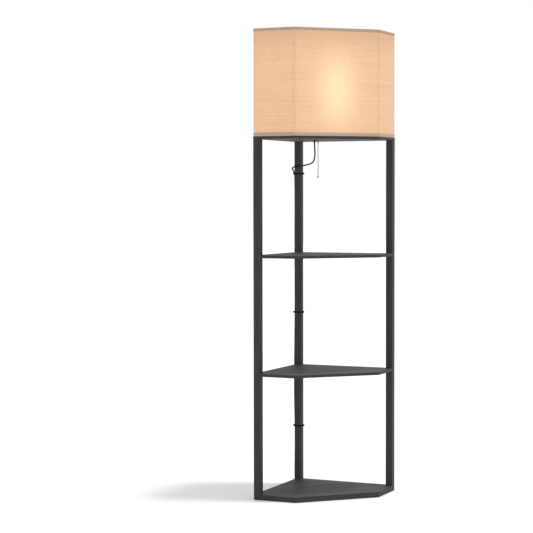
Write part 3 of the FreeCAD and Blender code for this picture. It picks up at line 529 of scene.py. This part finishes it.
# The way from the deck down the back post to the hank, in wall coordinates, in millimetres.
CORD_ROUTE = [
    (117, 117, 1219.7),
    (117, 118, 1203),
    (117.5, 119.5, 1184),
    (113.5, 116, 1164),
    (99, 102, 1151),
    (73, 76, 1146.5),
    (50, 49, 1143.5),
    (36, 24, 1142),
    (33.6, 10.5, 1141),
    (30, -2.5, 1138.5),
    (22, -9.6, 1133),
    (12.8, -6.8, 1123.5),
    (10.2, -4.6, 1111),
    (9.5, -4, 1092),
    (9.3, -3.5, 1058),
    (9.2, -3.4, 1004),
    (9.3, -3.6, 948),
    (9.6, -3.8, 887),
    (10.2, -3.6, 822),
    (9.9, -3.4, 752),
    (9.5, -3.5, 684),
    (9.6, -3.6, 618),
    (10.6, -3.9, 550),
    (12.0, -4.2, 482),
    (13.6, -4.3, 415),
    (14.4, -4.2, 346),
    (12.9, -3.9, 279),
    (10.2, -3.6, 213),
    (9.2, -3.7, 150),
    (9.3, -4.2, 96),
    (9.3, -4.8, 54),
    (4, -7.2, 25),
    (-9, -10, 8),
    (-26.3, -13.4, 4.5),
    (-38.2, -18, 4.1),
]
# The way from the hank to the plug, in millimetres from the back post's middle: along the hank,
# across it and up.
TAIL_ROUTE = [(131, 2, 41.5), (123, 1.5, 48.8), (115.5, 0.7, 52), (108.4, 0, 52.5)]
# The way that the hank lies, and, measured alike, the height of its middle and the middles of its bends.
HANK_TURN = math.radians(203.54)
HANK_MIDDLE = 24
HANK_NEAR = 67.5
HANK_FAR = 119.5
# Each turn of the hank: its radius and the column in which it lies.
HANK_TURNS = [(15, 8.25), (15, 2.75), (15, -2.75), (15, -8.25), (20, -8.25), (20, -2.75), (20, 2.75)]
BEND_ANGLES = (-72, -36, 0, 36, 72)
# Control points lie a little outside the bend that they make.
BEND_SWELL = 1.05
RUN_INSET = 8


def from_hank(along, across, z):
    """A point given in the hank's own directions, in the lamp's own frame."""
    turn = Matrix.Rotation(HANK_TURN, 2)
    spot = turn @ Vector((along, across)) * MM
    middle = POST_WIDTH / 2
    return from_walls(spot.x + middle, spot.y + middle, z * MM)


def hank_bend(middle, way, radius, column, step):
    """The points round one end of a turn; step is how far the cord moves sideways there."""
    points = []
    for angle in BEND_ANGLES:
        turn = math.radians(angle)
        along = middle + way * BEND_SWELL * radius * math.cos(turn)
        height = HANK_MIDDLE + way * BEND_SWELL * radius * math.sin(turn)
        share = (angle + 90) / 180
        points.append((along, column + step * share, height))
    return points


def hank_points():
    """The cord's turns: out along the floor, up, back along the top and down."""
    points = []
    last = len(HANK_TURNS) - 1
    for index, (radius, column) in enumerate(HANK_TURNS):
        low = HANK_MIDDLE - radius
        if index:
            points.append((HANK_NEAR + RUN_INSET, column, low))
        points.append((HANK_FAR - RUN_INSET, column, low))
        if index == last:
            # The last turn leaves the hank halfway up its far bend.
            points += hank_bend(HANK_FAR, 1, radius, column, 0)[:3]
            break
        points += hank_bend(HANK_FAR, 1, radius, column, 0)
        high = HANK_MIDDLE + radius
        points.append((HANK_FAR - RUN_INSET, column, high))
        points.append((HANK_NEAR + RUN_INSET, column, high))
        next_radius, next_column = HANK_TURNS[index + 1]
        points += hank_bend(HANK_NEAR, -1, (radius + next_radius) / 2, column, next_column - column)
    return points


def make_cord():
    route = [from_walls(u * MM, v * MM, z * MM) for u, v, z in CORD_ROUTE]
    route += [from_hank(*point) for point in hank_points() + TAIL_ROUTE]
    curve = bpy.data.curves.new("cord", "CURVE")
    curve.dimensions = "3D"
    curve.bevel_depth = CORD_DIAMETER / 2
    curve.bevel_resolution = 5
    curve.resolution_u = 10
    curve.use_fill_caps = True
    spline = curve.splines.new("NURBS")
    spline.points.add(len(route) - 1)
    for point, spot in zip(spline.points, route):
        point.co = (*spot, 1)
    spline.order_u = 3
    spline.use_endpoint_u = True
    curve.materials.append(CORD_SKIN)
    cord = bpy.data.objects.new("cord", curve)
    bpy.context.scene.collection.objects.link(cord)
    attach(cord, "lamp")
    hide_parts("power_cord", "cord_hank", "cord_tail")


make_cord()

# ---------------------------------------------------------------- shade

CORNER_ROUND = 4 * MM
SMALLEST_ROUND = 0.5 * MM
ARC_STEPS = 6
CLOTH_STEP = 5 * MM
CLOTH_INSET = 0.8 * MM
CLOTH_THICK = 0.8 * MM
CLOTH_RIPPLE = 0.15 * MM
# The cloth ends inside the folded tapes, this far from the shade's foot and top.
CLOTH_END = 0.8 * MM
TOP_TAPE_HEIGHT = 10 * MM
FOOT_TAPE_HEIGHT = 12 * MM
TAPE_INSET = 0.12 * MM
TAPE_THICK = 0.45 * MM
TAPE_RIPPLE = 0.05 * MM
TAPE_END = 0.05 * MM
TAPE_BEND = 1.4 * MM
BEND_STEPS = 4
# How far in the folded part of a tape lies.
TOP_FOLD = 8.4 * MM
FOOT_FOLD = 7.6 * MM
# Noise scales of the cloth's ripple, per metre along the walls and up.
RIPPLE_ROUND = 18
RIPPLE_UP = 14


def outline(inset):
    """Points round the shade with rounded corners, as many at every inset."""
    corners = pentagon(inset)
    outer = pentagon(0)
    radius = max(CORNER_ROUND - inset, SMALLEST_ROUND)
    points = []
    for index, corner in enumerate(corners):
        before = corners[index - 1]
        after = corners[(index + 1) % len(corners)]
        into = (corner - before).normalized()
        out = (after - corner).normalized()
        turn = into.angle(out)
        middle = corner + (out - into).normalized() * radius / math.cos(turn / 2)
        start = middle + Vector((into.y, -into.x)) * radius
        for step in range(ARC_STEPS + 1):
            spoke = Matrix.Rotation(turn * step / ARC_STEPS, 2) @ (start - middle)
            points.append(middle + spoke)
        end = points[-1]
        following = corners[(index + 2) % len(corners)]
        next_out = (following - after).normalized()
        next_turn = out.angle(next_out)
        stop = after - out * radius * math.tan(next_turn / 2)
        count = round((outer[(index + 1) % len(outer)] - outer[index]).length / CLOTH_STEP)
        for step in range(1, count):
            points.append(end.lerp(stop, step / count))
    return points


def rippled(points, height, ripple):
    """The points of one level of a ring, each moved in or out a little."""
    spots = []
    for index, point in enumerate(points):
        ahead = points[(index + 1) % len(points)] - points[index - 1]
        outward = Vector((ahead.y, -ahead.x)).normalized()
        place = Vector((point.x * RIPPLE_ROUND, point.y * RIPPLE_ROUND, height * RIPPLE_UP))
        wave = noise.noise(place) * ripple
        spot = point + outward * wave
        spots.append(from_walls(spot.x, spot.y, height))
    return spots


def ring(name, section, finishes, thickness, ripple):
    """A cloth ring round the shade whose section is a list of insets and heights."""
    outlines = [outline(inset) for inset, _ in section]
    mesh = bmesh.new()
    layer = mesh.loops.layers.uv.new("UVMap")
    rows = []
    for points, (_, height) in zip(outlines, section):
        rows.append([mesh.verts.new(spot) for spot in rippled(points, height, ripple)])
    first = outlines[0]
    sides = [(after - point).length for point, after in zip(first, first[1:] + first[:1])]
    rises = [math.hypot(end[0] - start[0], end[1] - start[1]) for start, end in zip(section, section[1:])]
    across = list(accumulate(sides, initial=0.0))
    up = list(accumulate(rises, initial=0.0))
    for level, (lower, upper) in enumerate(zip(rows, rows[1:])):
        for index in range(len(first)):
            after = (index + 1) % len(first)
            face = mesh.faces.new((lower[index], lower[after], upper[after], upper[index]))
            face.smooth = True
            corners = ((index, level), (index + 1, level), (index + 1, level + 1), (index, level + 1))
            for loop, (column, row) in zip(face.loops, corners):
                loop[layer].uv = (across[column], up[row])
    data = bpy.data.meshes.new(name)
    mesh.to_mesh(data)
    mesh.free()
    for finish in finishes:
        data.materials.append(finish)
    piece = bpy.data.objects.new(name, data)
    bpy.context.scene.collection.objects.link(piece)
    shell = piece.modifiers.new("thickness", "SOLIDIFY")
    shell.thickness = thickness
    shell.offset = -1
    shell.material_offset = len(finishes) - 1
    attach(piece, "lamp")
    return piece


def bend(inset, height, from_angle, to_angle):
    """A quarter round of a folded tape about a middle."""
    points = []
    for step in range(BEND_STEPS + 1):
        turn = math.radians(from_angle + (to_angle - from_angle) * step / BEND_STEPS)
        points.append((inset - TAPE_BEND * math.cos(turn), height + TAPE_BEND * math.sin(turn)))
    return points


def make_shade():
    low = SHADE_FOOT + CLOTH_END
    high = SHADE_TOP - CLOTH_END
    rows = round((high - low) / CLOTH_STEP)
    upright = [(CLOTH_INSET, low + (high - low) * row / rows) for row in range(rows + 1)]
    shade = ring("shade_cloth", upright, [CLOTH, LINER], CLOTH_THICK, CLOTH_RIPPLE)
    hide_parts("shade_fabric")

    top = SHADE_TOP - TAPE_END
    band_foot = top - TOP_TAPE_HEIGHT
    band_middle = band_foot + TOP_TAPE_HEIGHT / 2
    outer = TAPE_INSET + TAPE_BEND
    section = [(TAPE_INSET, band_foot), (TAPE_INSET, band_middle)]
    section += bend(outer, top - TAPE_BEND, 0, 90)
    section += bend(TOP_FOLD - TAPE_BEND, top - TAPE_BEND, 90, 180)
    section += [(TOP_FOLD, band_middle), (TOP_FOLD, band_foot)]
    top_tape = ring("top_tape", section, [TAPE], TAPE_THICK, TAPE_RIPPLE)
    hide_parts("shade_top_trim")

    foot = SHADE_FOOT + TAPE_END
    section = [(FOOT_FOLD, foot)] + bend(outer, foot + TAPE_BEND, -90, 0)
    section += [(TAPE_INSET, foot + FOOT_TAPE_HEIGHT / 2), (TAPE_INSET, foot + FOOT_TAPE_HEIGHT)]
    foot_tape = ring("foot_tape", section, [TAPE], TAPE_THICK, TAPE_RIPPLE)
    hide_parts("shade_bottom_trim")


make_shade()

# ---------------------------------------------------------------- floor and light

# The sun stands 75 degrees high, so that the shadow falls a short way to the left and back.
SUN_FROM = Vector((0.385, -0.183, 1.6))
SUN_STRENGTH = 1.6
SUN_ANGLE = math.radians(8)
SKY_LEVEL = 0.64
FLOOR_SIZE = 60
FLOOR_DARK = 0.8
FLOOR_LIGHT = 0.82
FLOOR_CLOUD_SCALE = 0.8
# The floor's own light, which takes it to the white of the background outside the shadow.
FLOOR_LIFT = 0.24
# Rays that look straight at a surface or by way of a reflection or glass.
SEEING_RAYS = ("Is Camera Ray", "Is Glossy Ray", "Is Transmission Ray")


def make_floor():
    """A pale floor that keeps the lamp's soft shadow and meets the white background."""
    bpy.ops.mesh.primitive_plane_add(size=FLOOR_SIZE, location=(0, 0, 0))
    floor = bpy.context.object
    floor.name = "floor"
    finish = Finish("floor", Roughness=0.8, Specular_IOR_Level=0.0)
    cloud = finish.grain(every_way(FLOOR_CLOUD_SCALE), detail=2.0)
    finish.colour(finish.mix(cloud, grey(FLOOR_DARK), grey(FLOOR_LIGHT)))
    path = finish.node("LightPath")
    camera, glossy, transmission = (path.outputs[name] for name in SEEING_RAYS)
    seen = finish.math("MAXIMUM", finish.math("MAXIMUM", camera, glossy), transmission)
    finish.glow(grey(1.0), finish.math("MULTIPLY", seen, FLOOR_LIFT))
    floor.data.materials.append(finish.material)


def make_sky():
    """An even sky, white where the camera, a reflection or glass looks at it."""
    world = bpy.data.worlds.new("sky")
    world.use_nodes = True
    bpy.context.scene.world = world
    tree = world.node_tree
    path = tree.nodes.new("ShaderNodeLightPath")
    seen = path.outputs[SEEING_RAYS[0]]
    for name in SEEING_RAYS[1:]:
        either = tree.nodes.new("ShaderNodeMath")
        either.operation = "MAXIMUM"
        tree.links.new(seen, either.inputs[0])
        tree.links.new(path.outputs[name], either.inputs[1])
        seen = either.outputs[0]
    level = tree.nodes.new("ShaderNodeMapRange")
    level.inputs["To Min"].default_value = SKY_LEVEL
    level.inputs["To Max"].default_value = 1.0
    tree.links.new(seen, level.inputs["Value"])
    tree.links.new(level.outputs["Result"], tree.nodes["Background"].inputs["Strength"])
    tree.nodes["Background"].inputs["Color"].default_value = grey(1.0)


def make_sun():
    data = bpy.data.lights.new("key", "SUN")
    data.energy = SUN_STRENGTH
    data.angle = SUN_ANGLE
    sun = bpy.data.objects.new("key", data)
    sun.rotation_mode = "QUATERNION"
    sun.rotation_quaternion = SUN_FROM.to_track_quat("Z", "Y")
    bpy.context.scene.collection.objects.link(sun)


make_floor()
make_sky()
make_sun()
bpy.context.scene.view_settings.view_transform = "Standard"
